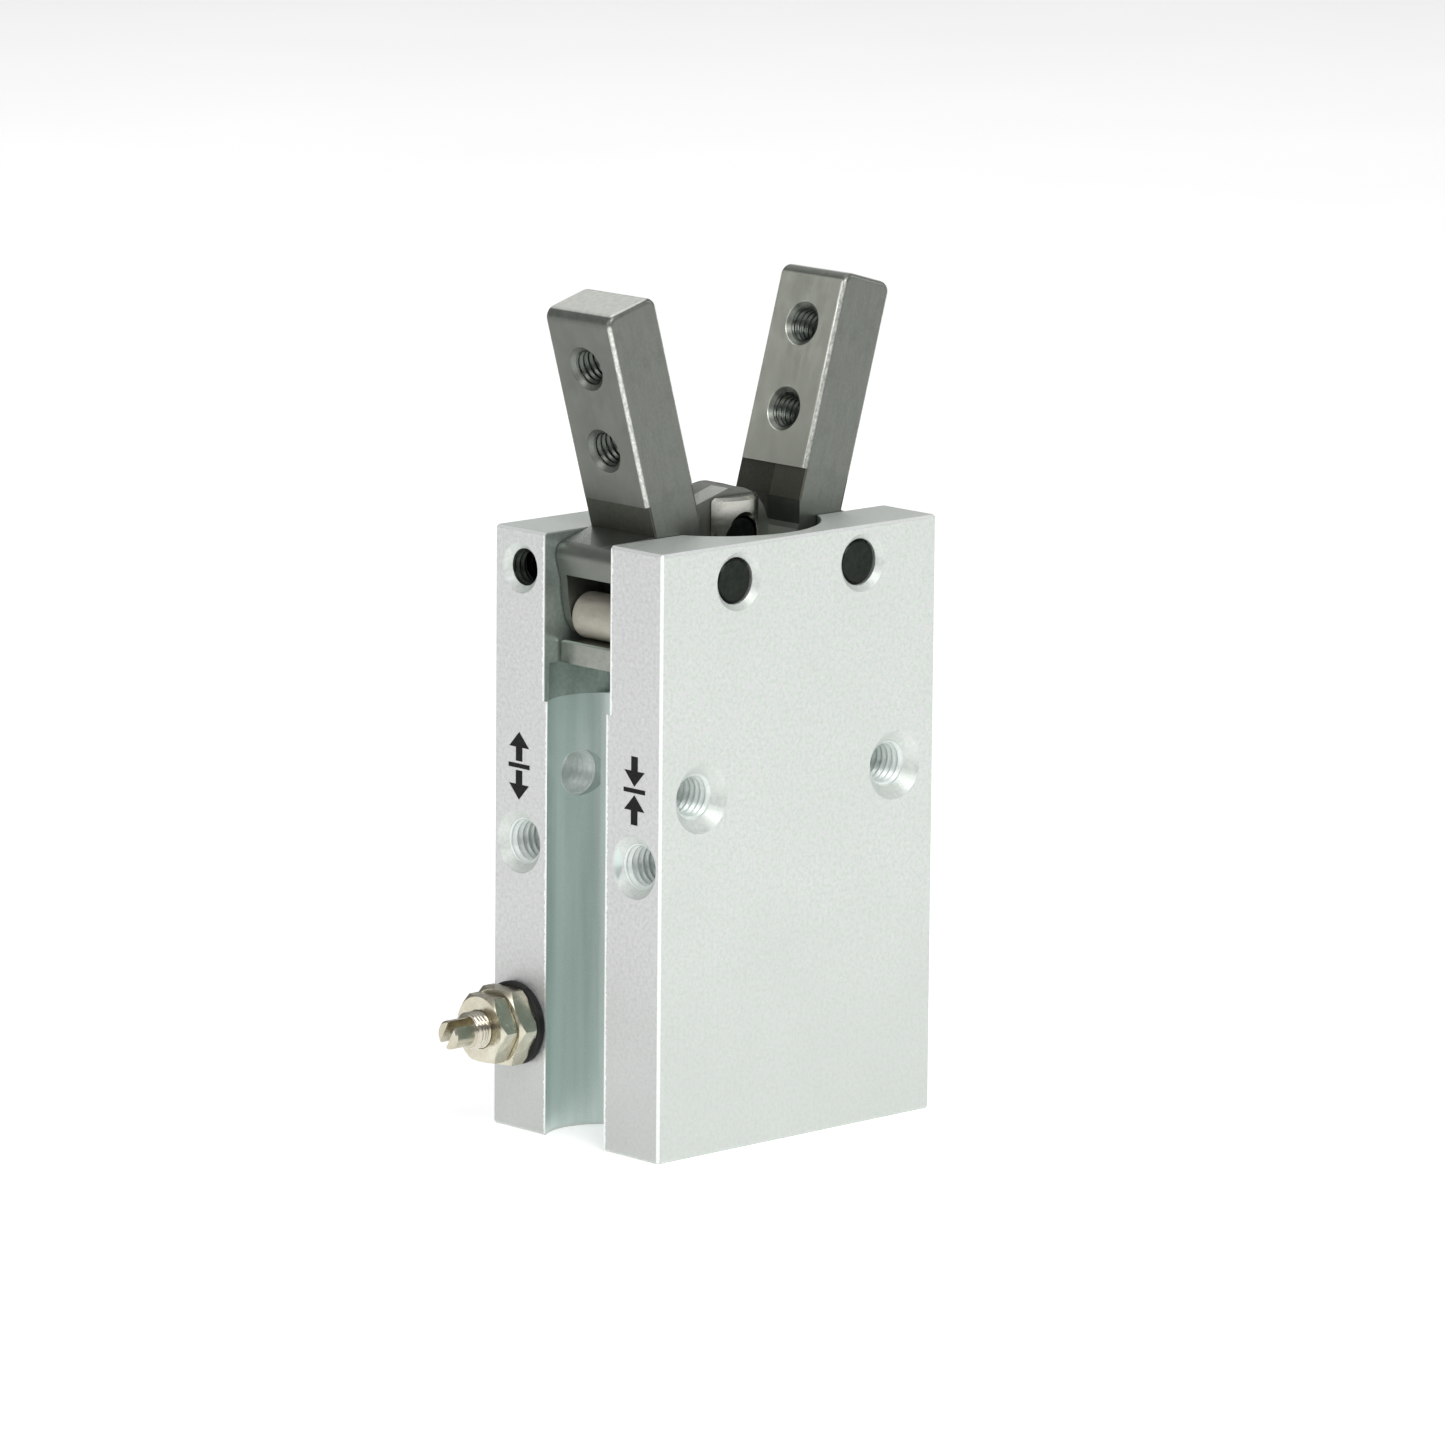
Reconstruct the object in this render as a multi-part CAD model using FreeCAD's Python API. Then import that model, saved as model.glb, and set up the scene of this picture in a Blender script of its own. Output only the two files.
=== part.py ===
import FreeCAD, Part
import math
import os

# Two-finger angular air gripper, bore 20 mm class, double acting, shown fully open.
# Frame: +X along the wide face, front wide face normal -Y, port side normal -X, +Z up
# towards the fingers.  Origin: centre of the body's bottom face.  Millimetres.

# ------------------------------------------------------------------ driving dimensions
BODY_W, BODY_D, BODY_H = 40.0, 26.0, 65.0
EDGE = 0.3                      # broken edges of the block

BORE_R = 10.0                   # cylinder bore
BORE_TOP = 48.0                 # shoulder that the rod cover seats against
WEB_TOP = 51.0                  # partition between bore and finger slot
CORE_R = 11.5                   # outside of the cylinder wall inside the side grooves
RECESS_R = 11.1                 # round recess open at the top
SLOT_HALF = 5.15                # finger slot, across the body
SLOT_FOOT = 47.0                # where the slot ends at the side faces
GROOVE_R = 6.2                  # undercut side groove (for sensor and tubing)
GROOVE_X = 15.84
LOCATE_R, LOCATE_H = 10.5, 1.5  # locating bore in the bottom face

PIVOT_X, PIVOT_Z = 9.0, 61.0    # fulcrum pins
ARM = 9.0                       # pivot to joint pin, across the body
OPEN_DEG = 16.0                 # finger lean when fully open (modelled pose)
PIN_R = 2.5
PIN_END = 12.3

MOUNT_X, MOUNT_Z, M5_R = 14.1, 38.5, 2.5
MOUNT_CSK_R = 3.75
PORT_Y, PORT_Z, PORT_DEPTH = 9.0, 31.3, 5.5
PORT_CSK_R = 3.4
NEEDLE_Y, NEEDLE_Z = 9.1, 11.7     # needle valve
LOCK_Y, LOCK_Z, LOCK_R = 9.0, 60.8, 2.0

FINGER_W, FINGER_T, FINGER_TOP = 5.0, 3.5, 30.0     # half width, half thickness, tip height
FINGER_HOLES = (14.5, 23.8)     # heights of the tapped holes above the pivot
M4_R = 2.0
HUB_TOP = 5.2
TONGUE_OUT, TONGUE_IN = 2.65, 0.05
TONGUE_R = 5.25
ROLLER_X, ROLLER_Z, ROLLER_R = -7.1, -3.2, 2.5

JOINT_R, JOINT_TOP, JOINT_FOOT, JOINT_SLOT = 4.4, 67.9, 54.0, 57.0
JOINT_PIN_R = 2.25
ROD_R = 3.0

V = FreeCAD.Vector
OPEN = math.radians(OPEN_DEG)
PIN_Z = PIVOT_Z + ARM * math.tan(OPEN)

os.makedirs("parts", exist_ok=True)
TOTAL = {}


# ------------------------------------------------------------------ helpers
def box(x0, x1, y0, y1, z0, z1):
    return Part.makeBox(x1 - x0, y1 - y0, z1 - z0, V(x0, y0, z0))


def cyl(r, p, d, h):
    return Part.makeCylinder(r, h, V(*p), V(*d))


def cone(r0, r1, p, d, h):
    return Part.makeCone(r0, r1, h, V(*p), V(*d))


def tube(ro, ri, p, d, h):
    e = 0.5
    n = V(*d).normalize()
    q = V(*p) - n * e
    return cyl(ro, p, d, h).cut(Part.makeCylinder(ri, h + 2 * e, q, n))


def hexagon(af, p, d, h):
    """Hexagonal prism, af across flats, along d from p."""
    n = V(*d).normalize()
    ref = V(0, 0, 1) if abs(n.z) < 0.9 else V(1, 0, 0)
    u = n.cross(ref).normalize()
    w = n.cross(u)
    r = af / math.sqrt(3)
    pts = []
    for k in range(7):
        a = math.radians(60 * k)
        pts.append(V(*p) + u * (r * math.cos(a)) + w * (r * math.sin(a)))
    return Part.Face(Part.makePolygon(pts)).extrude(n * h)


def prism_xz(points, y0, y1):
    """Closed outline given as (x, z), extruded from y0 to y1."""
    pts = [V(x, y0, z) for x, z in points]
    return Part.Face(Part.makePolygon(pts + [pts[0]])).extrude(V(0, y1 - y0, 0))


def revolve_z(points):
    """Closed outline given as (r, z), turned about Z."""
    pts = [V(r, 0, z) for r, z in points]
    return Part.Face(Part.makePolygon(pts + [pts[0]])).revolve(V(0, 0, 0), V(0, 0, 1), 360)


def revolve_about(points, p, d, ref):
    """Closed outline given as (r, s): r from the axis, s along d from p."""
    n = V(*d).normalize()
    u = V(*ref).normalize()
    pts = [V(*p) + u * r + n * s for r, s in points]
    return Part.Face(Part.makePolygon(pts + [pts[0]])).revolve(V(*p), n, 360)


def fillet(shape, radius, pick, chamfer=False):
    edges = [e for e in shape.Edges if pick(e)]
    if not edges:
        print("no edge picked")
        return shape
    try:
        out = shape.makeChamfer(radius, edges) if chamfer else shape.makeFillet(radius, edges)
        if out.isValid() and out.Volume > 0:
            return out
    except Exception as err:
        print("fillet left out:", err)
    return shape


def mid(e):
    return e.valueAt((e.FirstParameter + e.LastParameter) / 2)


def along(e, axis):
    t = e.tangentAt((e.FirstParameter + e.LastParameter) / 2)
    return abs(getattr(t, axis)) > 0.999 and e.Curve.TypeId == "Part::GeomLine"


def save(name, shape):
    solids = shape.Solids
    assert solids, name
    for s in solids:
        assert s.isValid(), name
    out = solids[0] if len(solids) == 1 else Part.makeCompound(solids)
    out.exportStep("parts/%s.step" % name)
    TOTAL[name] = round(sum(s.Volume for s in solids), 2)


# ------------------------------------------------------------------ body
block = box(-BODY_W / 2, BODY_W / 2, -BODY_D / 2, BODY_D / 2, 0, BODY_H)
block = block.makeChamfer(EDGE, block.Edges)

core = cyl(CORE_R, (0, 0, -1), (0, 0, 1), WEB_TOP + 1)
grooves = cyl(GROOVE_R, (-GROOVE_X, 0, -1), (0, 0, 1), WEB_TOP + 1).fuse(
    cyl(GROOVE_R, (GROOVE_X, 0, -1), (0, 0, 1), WEB_TOP + 1)).cut(core)
slot_foot = box(-21, 21, -SLOT_HALF, SLOT_HALF, SLOT_FOOT, WEB_TOP).cut(core)
slot = box(-21, 21, -SLOT_HALF, SLOT_HALF, WEB_TOP, BODY_H + 1)
recess = cyl(RECESS_R, (0, 0, WEB_TOP), (0, 0, 1), BODY_H)
bore = cyl(BORE_R, (0, 0, -1), (0, 0, 1), BORE_TOP + 1)
ring_grooves = cyl(10.7, (0, 0, 2.1), (0, 0, 1), 1.2).fuse(cyl(10.7, (0, 0, 38.8), (0, 0, 1), 1.2))
mouth = cyl(LOCATE_R, (0, 0, -1), (0, 0, 1), LOCATE_H + 1)
web_hole = cyl(3.4, (0, 0, BORE_TOP - 1), (0, 0, 1), 5).fuse(cyl(5.0, (0, 0, 50.0), (0, 0, 1), 2))

body = block
for tool in (grooves, slot_foot, slot, recess, bore, ring_grooves, mouth, web_hole):
    body = body.cut(tool)

# tapped mounting holes through both plates into the side grooves
for sx in (-1, 1):
    for sy in (-1, 1):
        p = (sx * MOUNT_X, sy * (BODY_D / 2 + 0.5), MOUNT_Z)
        body = body.cut(cyl(M5_R, p, (0, -sy, 0), 8.6))
        body = body.cut(cone(MOUNT_CSK_R, M5_R, (sx * MOUNT_X, sy * BODY_D / 2, MOUNT_Z), (0, -sy, 0), MOUNT_CSK_R - M5_R))
        body = body.cut(cyl(MOUNT_CSK_R, (sx * MOUNT_X, sy * BODY_D / 2, MOUNT_Z), (0, sy, 0), 1))

# ports on the -X side, one on each column
XF = -BODY_W / 2
for sy in (-1, 1):
    body = body.cut(cyl(M5_R, (XF - 0.5, sy * PORT_Y, PORT_Z), (1, 0, 0), PORT_DEPTH + 0.5))
    body = body.cut(cone(M5_R, 0.4, (XF + PORT_DEPTH, sy * PORT_Y, PORT_Z), (1, 0, 0), 0.9))
    body = body.cut(cone(PORT_CSK_R, M5_R, (XF, sy * PORT_Y, PORT_Z), (1, 0, 0), PORT_CSK_R - M5_R))

# closing passage: port on the -Y column, slanted drilling up to the top chamber
a = V(-15.0, -PORT_Y, PORT_Z)
b = V(-6.3, -6.9, 38.3)
body = body.cut(Part.makeCylinder(0.75, (b - a).Length, a, b - a))

# opening passage: port on the +Y column, down a drilling to the needle seat, in to the bottom chamber
body = body.cut(cyl(0.9, (-16.0, 9.9, -1), (0, 0, 1), PORT_Z + 1))
body = body.cut(cyl(1.2, (-16.0, 9.9, -1), (0, 0, 1), 4.0))
body = body.cut(cyl(M5_R, (XF - 0.5, NEEDLE_Y, NEEDLE_Z), (1, 0, 0), 6.5))
body = body.cut(cyl(1.6, (XF + 5.5, NEEDLE_Y, NEEDLE_Z), (1, 0, 0), 3.5))
body = body.cut(cyl(0.7, (XF + 8.5, NEEDLE_Y, NEEDLE_Z), (1, 0, 0), 8.0))

# fulcrum pin holes, right through, and the tapped holes that lock the pins
for sx in (-1, 1):
    body = body.cut(cyl(PIN_R + 0.02, (sx * PIVOT_X, -14, PIVOT_Z), (0, 1, 0), 28))
    for sy in (-1, 1):
        body = body.cut(cone(3.15, PIN_R, (sx * PIVOT_X, sy * BODY_D / 2, PIVOT_Z), (0, -sy, 0), 0.65))
    body = body.cut(cyl(LOCK_R, (sx * 20.5, LOCK_Y, LOCK_Z), (-sx, 0, 0), 9.4))
    body = body.cut(cone(2.75, LOCK_R, (sx * 20.0, LOCK_Y, LOCK_Z), (-sx, 0, 0), 0.75))

# tapped holes in the partition for the stop plate screws
for sy in (-1, 1):
    body = body.cut(cyl(1.3, (0, sy * 7.7, 47), (0, 0, 1), 6))
save("body", body)

# ------------------------------------------------------------------ bottom closure
def snap_ring(z, t, ro, ri):
    """Open retaining ring with two lugs and plier holes, gap towards +X."""
    s = tube(ro, ri, (0, 0, z), (0, 0, 1), t)
    s = s.cut(box(0, 20, -1.6, 1.6, z - 1, z + t + 1))
    for sy in (-1, 1):
        lug = cyl(1.5, (ri - 0.5, sy * 2.9, z), (0, 0, 1), t)
        hole = cyl(0.6, (ri - 0.6, sy * 2.9, z - 1), (0, 0, 1), t + 2)
        s = s.fuse(lug).cut(hole)
    return s.removeSplitter()


save("retaining_ring", snap_ring(2.2, 1.0, 10.6, 8.9))

cap = revolve_z([(0, 4.1), (1.6, 4.1), (2.0, 3.3), (9.97, 3.3), (9.97, 6.2), (8.4, 6.2), (8.4, 8.2),
                 (9.97, 8.2), (9.97, 9.9), (9.57, 10.3), (3.0, 10.3), (3.0, 9.3), (0, 9.3)])
cap = cap.cut(cyl(1.65, (0, 0, 3.0), (0, 0, 1), 4.5))
save("end_cap", cap)


def oring(rc, r, z):
    return Part.makeTorus(rc, r, V(0, 0, z), V(0, 0, 1))


save("end_cap_o_ring", oring(9.18, 0.75, 7.2))
save("bottom_bumper", fillet(cyl(7.2, (0, 0, 10.3), (0, 0, 1), 3.3), 0.6,
                             lambda e: abs(mid(e).z - 13.6) < 0.01).fuse(cyl(2.95, (0, 0, 9.35), (0, 0, 1), 1.0)).removeSplitter())

# ball that plugs the drilled passage
save("passage_plug", Part.makeSphere(1.19, V(-16.0, 9.9, 1.7)))

# ------------------------------------------------------------------ rod cover
cover = revolve_z([(3.06, 40.6), (3.06, 45.4), (5.2, 45.4), (5.2, 48.0), (9.6, 48.0), (9.97, 47.6), (9.97, 45.0),
                   (8.4, 45.0), (8.4, 43.0), (9.97, 43.0), (9.97, 40.0), (6.8, 40.0), (6.8, 41.2), (4.2, 41.2), (4.2, 40.0), (3.6, 40.0)])
save("rod_cover", cover)
save("rod_cover_o_ring", oring(9.18, 0.75, 44.0))
save("rod_seal", revolve_z([(3.03, 46.9), (3.03, 47.4), (3.5, 47.75), (4.0, 46.9), (4.5, 47.75), (5.15, 47.5), (5.15, 45.5), (3.4, 45.5), (3.03, 46.2)]))
save("rod_cover_ring", snap_ring(38.9, 1.0, 10.6, 8.9))
save("top_bumper", fillet(tube(6.7, 4.3, (0, 0, 37.35), (0, 0, 1), 3.8), 0.5, lambda e: abs(mid(e).z - 37.35) < 0.01))

# ------------------------------------------------------------------ piston group (moves along Z)
piston = revolve_z([(2.03, 28.0), (9.6, 28.0), (9.85, 28.3), (9.85, 31.5), (7.6, 31.5), (7.6, 34.3), (9.85, 34.3),
                    (9.85, 36.6), (9.45, 37.0), (2.03, 37.0)])
save("piston", piston)
save("piston_seal", revolve_z([(7.65, 31.6), (7.65, 34.2), (8.6, 34.2), (9.2, 33.5), (9.93, 34.1), (9.93, 33.5), (9.5, 32.9), (9.93, 32.3), (9.93, 31.7), (9.2, 32.3), (8.6, 31.6)]))
save("piston_magnet", tube(9.6, 5.15, (0, 0, 24.6), (0, 0, 1), 3.3))
save("magnet_carrier", revolve_z([(2.03, 20.6), (4.7, 20.6), (4.7, 17.6), (9.4, 17.6), (9.85, 18.05), (9.85, 19.2), (8.9, 19.2), (8.9, 22.2),
                                  (9.85, 22.2), (9.85, 24.5), (5.1, 24.5), (5.1, 28.0), (2.03, 28.0)]))
wear = tube(9.93, 8.95, (0, 0, 19.3), (0, 0, 1), 2.8).cut(box(0, 12, -0.4, 0.4, 19, 23))
save("wear_ring", wear)
rod = cyl(2.0, (0, 0, 17.9), (0, 0, 1), 19.1).fuse(cyl(ROD_R, (0, 0, 37.0), (0, 0, 1), JOINT_FOOT - 37.0)).fuse(
    cyl(1.98, (0, 0, JOINT_FOOT), (0, 0, 1), JOINT_SLOT - JOINT_FOOT)).removeSplitter()
save("piston_rod", rod)
nut = hexagon(7.0, (0, 0, 17.8), (0, 0, 1), 2.75).common(cone(3.45, 5.2, (0, 0, 17.8), (0, 0, 1), 1.2).fuse(cyl(5.2, (0, 0, 19.0), (0, 0, 1), 2))).cut(
    cyl(2.02, (0, 0, 17), (0, 0, 1), 5))
save("piston_nut", nut)

joint = cyl(JOINT_R, (0, 0, JOINT_FOOT), (0, 0, 1), JOINT_TOP - JOINT_FOOT)
joint = joint.makeChamfer(0.35, [e for e in joint.Edges if e.Curve.TypeId == "Part::GeomCircle"])
joint = joint.cut(box(-6, 6, -2.75, 2.75, JOINT_SLOT, 70))
joint = joint.cut(cyl(JOINT_PIN_R + 0.01, (0, -6, PIN_Z), (0, 1, 0), 12))
for sy in (-1, 1):
    joint = joint.cut(cone(JOINT_PIN_R + 0.6, JOINT_PIN_R, (0, sy * (JOINT_R + 0.1), PIN_Z), (0, -sy, 0), 0.6))
joint = joint.cut(cyl(2.0, (0, 0, 53), (0, 0, 1), 6))
save("joint", joint)
jpin = cyl(JOINT_PIN_R, (0, -3.75, PIN_Z), (0, 1, 0), 7.5)
save("joint_pin", jpin.makeChamfer(0.25, [e for e in jpin.Edges if e.Curve.TypeId == "Part::GeomCircle"]))

# ------------------------------------------------------------------ stop plate
plate = cyl(10.9, (0, 0, 51.0), (0, 0, 1), 2.4).fuse(box(-17.8, 17.8, -4.9, 4.9, 51.0, 53.4)).removeSplitter()
plate = plate.cut(cyl(4.85, (0, 0, 50), (0, 0, 1), 4))
plate = fillet(plate, 0.2, lambda e: e.BoundBox.ZLength < 1e-6 and e.BoundBox.ZMin > 53.3, chamfer=True)
for sy in (-1, 1):
    plate = plate.cut(cyl(1.35, (0, sy * 7.7, 50), (0, 0, 1), 4)).cut(cone(1.35, 2.5, (0, sy * 7.7, 52.26), (0, 0, 1), 1.15))
save("stop_plate", plate)
screws = []
for sy in (-1, 1):
    s = cyl(1.28, (0, sy * 7.7, 48.3), (0, 0, 1), 4.0).fuse(cone(1.28, 2.35, (0, sy * 7.7, 52.26), (0, 0, 1), 1.07))
    s = s.cut(hexagon(1.5, (0, sy * 7.7, 52.4), (0, 0, 1), 1.2))
    screws.append(s.removeSplitter())
save("stop_plate_screws", Part.makeCompound(screws))


# ------------------------------------------------------------------ finger levers
# Modelled upright about the pivot: x towards the centre of the gripper, z along the finger.
def make_lever():
    bar = box(-FINGER_T, FINGER_T, -FINGER_W, FINGER_W, 0, FINGER_TOP)
    bar = fillet(bar, 1.3, lambda e: along(e, "y") and mid(e).z > FINGER_TOP - 0.1)
    bar = fillet(bar, 0.55, lambda e: mid(e).z > 0.1)
    for s in (-1, 1):
        x0, x1 = sorted((s * (FINGER_T - 0.28), s * (FINGER_T + 1)))
        bar = bar.cut(box(x0, x1, -6, 6, HUB_TOP, 8.6))
    bar = bar.cut(box(-6, 6, -6, 6, -1, 3.0)).cut(box(2.45, 6, -6, 6, -1, HUB_TOP))

    hub = prism_xz([(-8.75, HUB_TOP), (3.22, HUB_TOP), (2.5, 2.7), (2.62, 2.1), (3.3, 0.9), (3.6, 0.1), (3.6, -1.5), (2.8, -5.2),
                    (2.0, -5.5), (-5.4, -5.5), (-7.6, -5.35), (-8.9, -4.5), (-9.3, -3.0), (-9.2, -1.0), (-8.75, 1.5)],
                   -FINGER_W, FINGER_W)
    hub = fillet(hub, 1.5, lambda e: along(e, "y") and mid(e).x < -8.7 and mid(e).z > 5.0)
    # relief on the far half for the other finger's tongue
    hub = hub.cut(cyl(5.55, (8.89, 0, 0), (0, 1, 0), 4.45))

    tongue = prism_xz([(0.0, -4.6), (9.1, -4.6), (9.1, HUB_TOP), (0.0, HUB_TOP)], -TONGUE_OUT, -TONGUE_IN).fuse(
        cyl(TONGUE_R, (9.18, -TONGUE_OUT, 0), (0, 1, 0), TONGUE_OUT - TONGUE_IN))
    tongue = tongue.cut(box(-2, 20, -4, 1, HUB_TOP, 7))
    lever = bar.fuse(hub).fuse(tongue).removeSplitter()

    # roller pocket, between two cheeks
    lever = lever.cut(box(-12, -4.25, -4.0, 4.0, -8, 1.95))
    lever = lever.cut(cyl(1.21, (ROLLER_X, -6, ROLLER_Z), (0, 1, 0), 12))
    # pivot bore
    lever = lever.cut(cyl(PIN_R + 0.05, (0, -6, 0), (0, 1, 0), 12))
    # elongated hole for the joint pin
    r = JOINT_PIN_R + 0.08
    x0, x1 = 8.94, 9.42
    lever = lever.cut(cyl(r, (x0, -4, 0), (0, 1, 0), 5).fuse(cyl(r, (x1, -4, 0), (0, 1, 0), 5)).fuse(box(x0, x1, -4, 1, -r, r)))
    # tapped holes for the work attachments
    for z in FINGER_HOLES:
        lever = lever.cut(cyl(M4_R, (-6, 0, z), (1, 0, 0), 12))
        for s in (-1, 1):
            lever = lever.cut(cone(M4_R + 0.45, M4_R, (s * FINGER_T, 0, z), (-s, 0, 0), 0.45))
    return lever


def place_left(shape):
    s = shape.copy()
    # lean outwards: the tip goes towards -X
    s.rotate(V(0, 0, 0), V(0, 1, 0), -OPEN_DEG)
    s.translate(V(-PIVOT_X, 0, PIVOT_Z))
    return s


def place_right(shape):
    s = place_left(shape)
    s.rotate(V(0, 0, 0), V(0, 0, 1), 180)
    return s


lever = make_lever()
roller = tube(ROLLER_R, 1.25, (ROLLER_X, -3.85, ROLLER_Z), (0, 1, 0), 7.7)
roller = fillet(roller, 0.4, lambda e: e.Curve.TypeId == "Part::GeomCircle" and abs(e.Curve.Radius - ROLLER_R) < 1e-6)
rpin = cyl(1.2, (ROLLER_X, -4.9, ROLLER_Z), (0, 1, 0), 9.8)
for name, place in (("left", place_left), ("right", place_right)):
    save("finger_" + name, place(lever))
    save("stop_roller_" + name, place(roller))
    save("roller_pin_" + name, place(rpin))

# ------------------------------------------------------------------ fulcrum pins and their lock screws
for name, sx in (("left", -1), ("right", 1)):
    p = cyl(PIN_R, (sx * PIVOT_X, -PIN_END, PIVOT_Z), (0, 1, 0), 2 * PIN_END)
    save("fulcrum_pin_" + name, p.makeChamfer(0.35, [e for e in p.Edges if e.Curve.TypeId == "Part::GeomCircle"]))
locks = []
for sx in (-1, 1):
    s = cyl(LOCK_R - 0.02, (sx * 17.3, LOCK_Y, LOCK_Z), (-sx, 0, 0), 4.9).fuse(cone(LOCK_R - 0.02, 1.2, (sx * 12.4, LOCK_Y, LOCK_Z), (-sx, 0, 0), 0.75))
    s = s.removeSplitter().cut(hexagon(2.0, (sx * 17.4, LOCK_Y, LOCK_Z), (-sx, 0, 0), 2.2))
    locks.append(s)
save("pin_lock_screws", Part.makeCompound(locks))

# ------------------------------------------------------------------ needle valve on the -X side
NP = (XF, NEEDLE_Y, NEEDLE_Z)


def at(x):
    return (x, NEEDLE_Y, NEEDLE_Z)


OUT = (-1, 0, 0)
gasket = tube(4.5, 2.55, at(XF), OUT, 1.0)
save("needle_gasket", fillet(gasket, 0.3, lambda e: e.Curve.TypeId == "Part::GeomCircle" and abs(e.Curve.Radius - 4.5) < 1e-6))

seat = hexagon(8.0, at(XF - 1.0), OUT, 2.3).common(
    cone(4.1, 4.75, at(XF - 1.0), OUT, 0.45).fuse(cyl(4.75, at(XF - 1.45), OUT, 1.3)).fuse(cone(4.75, 4.0, at(XF - 2.75), OUT, 0.55)))
seat = seat.fuse(cyl(2.45, at(XF - 1.2), (1, 0, 0), 6.4)).removeSplitter()
# bore: threaded part for the needle, then the wide O-ring chamber, then the seat
seat = seat.cut(cyl(2.12, at(XF - 4), (1, 0, 0), 6.0)).cut(cyl(1.45, at(XF), (1, 0, 0), 7.0))
save("needle_seat_body", seat)

lock = hexagon(7.0, at(XF - 3.35), OUT, 2.15).common(
    cone(3.6, 4.15, at(XF - 3.35), OUT, 0.4).fuse(cyl(4.15, at(XF - 3.75), OUT, 1.2)).fuse(cone(4.15, 3.5, at(XF - 4.95), OUT, 0.55)))
lock = lock.cut(cyl(2.12, at(XF - 2), OUT, 6))
save("needle_lock_nut", lock)

needle = revolve_about([(0, -7.0), (0.35, -7.0), (0.6, -5.6), (1.35, -5.2), (1.35, -3.9), (0.85, -3.9), (0.85, -2.4), (1.35, -2.4), (1.35, -1.6),
                        (1.2, -1.2), (1.2, 0.4), (2.05, 0.95), (2.05, 5.55), (1.78, 5.75), (1.78, 7.25), (1.56, 7.45), (1.56, 9.8), (1.36, 10.0), (0, 10.0)],
                       NP, OUT, (0, 0, 1))
driver_slot = box(XF - 11, XF - 6.9, -4, 4, -0.55, 0.55)
driver_slot.rotate(V(0, 0, 0), V(1, 0, 0), -60)
driver_slot.translate(V(0, NEEDLE_Y, NEEDLE_Z))
needle = needle.cut(driver_slot)
save("needle_screw", needle)
save("needle_o_ring", Part.makeTorus(1.12, 0.26, V(XF + 3.15, NEEDLE_Y, NEEDLE_Z), V(1, 0, 0)))

for k, v in TOTAL.items():
    print("%-20s %9.2f mm3" % (k, v))
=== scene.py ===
import math

import bmesh
import bpy
import numpy as np
from mathutils import Matrix, Vector


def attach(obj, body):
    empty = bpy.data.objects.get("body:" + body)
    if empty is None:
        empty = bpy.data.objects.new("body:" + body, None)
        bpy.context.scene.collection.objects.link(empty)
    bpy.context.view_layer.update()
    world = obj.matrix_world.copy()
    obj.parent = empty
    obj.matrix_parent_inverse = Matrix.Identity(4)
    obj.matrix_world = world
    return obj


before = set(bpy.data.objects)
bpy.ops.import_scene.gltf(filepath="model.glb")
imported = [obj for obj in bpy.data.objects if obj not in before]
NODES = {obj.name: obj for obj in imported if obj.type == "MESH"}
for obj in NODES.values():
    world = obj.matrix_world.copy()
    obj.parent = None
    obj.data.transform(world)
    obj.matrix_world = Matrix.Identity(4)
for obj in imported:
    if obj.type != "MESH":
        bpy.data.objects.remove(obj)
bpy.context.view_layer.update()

MM = 0.001
SC = bpy.context.scene
SC.view_settings.view_transform = "Standard"
SC.view_settings.look = "None"
SC.view_settings.exposure = 0.0
SC.view_settings.gamma = 1.0


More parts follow.
